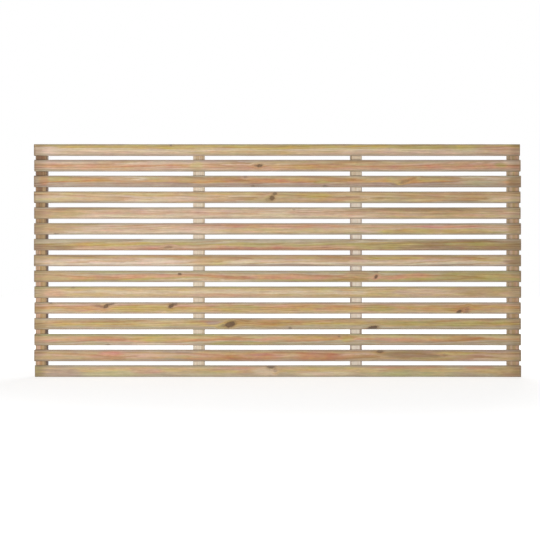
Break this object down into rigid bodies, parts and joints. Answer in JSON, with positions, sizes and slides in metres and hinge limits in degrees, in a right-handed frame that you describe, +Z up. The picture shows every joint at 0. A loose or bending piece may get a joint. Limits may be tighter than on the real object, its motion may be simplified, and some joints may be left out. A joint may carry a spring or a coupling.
{
  "type": "slatted fence panel",
  "caption": "Wide low timber fence panel of horizontal planed slats with narrow even gaps, stapled from behind to upright battens; fixes between two posts.",
  "frame": {"origin": "middle of the panel's foot: half its width, half its depth, on the ground line", "axes": "+X to the right along the slats, +Y from the slats' face towards the battens' back, +Z up"},
  "size_m": [1.8, 0.05, 0.862],
  "materials": {
    "slat_wood": "planed, pressure-treated softwood",
    "end_batten_wood": "planed, pressure-treated softwood, browner",
    "centre_batten_wood": "planed, pressure-treated softwood, paler",
    "staple_steel": "galvanised wire"
  },
  "bodies": {
    "root": {"slat_01": "slat_wood", "slat_02": "slat_wood", "slat_03": "slat_wood", "slat_04": "slat_wood", "slat_05": "slat_wood", "slat_06": "slat_wood", "slat_07": "slat_wood", "slat_08": "slat_wood", "slat_09": "slat_wood", "slat_10": "slat_wood", "slat_11": "slat_wood", "slat_12": "slat_wood", "slat_13": "slat_wood", "slat_14": "slat_wood", "slat_15": "slat_wood", "batten_left": "end_batten_wood", "batten_centre_left": "centre_batten_wood", "batten_centre_right": "centre_batten_wood", "batten_right": "end_batten_wood", "staples_left": "staple_steel", "staples_centre_left": "staple_steel", "staples_centre_right": "staple_steel", "staples_right": "staple_steel"}
  },
  "joints": []
}
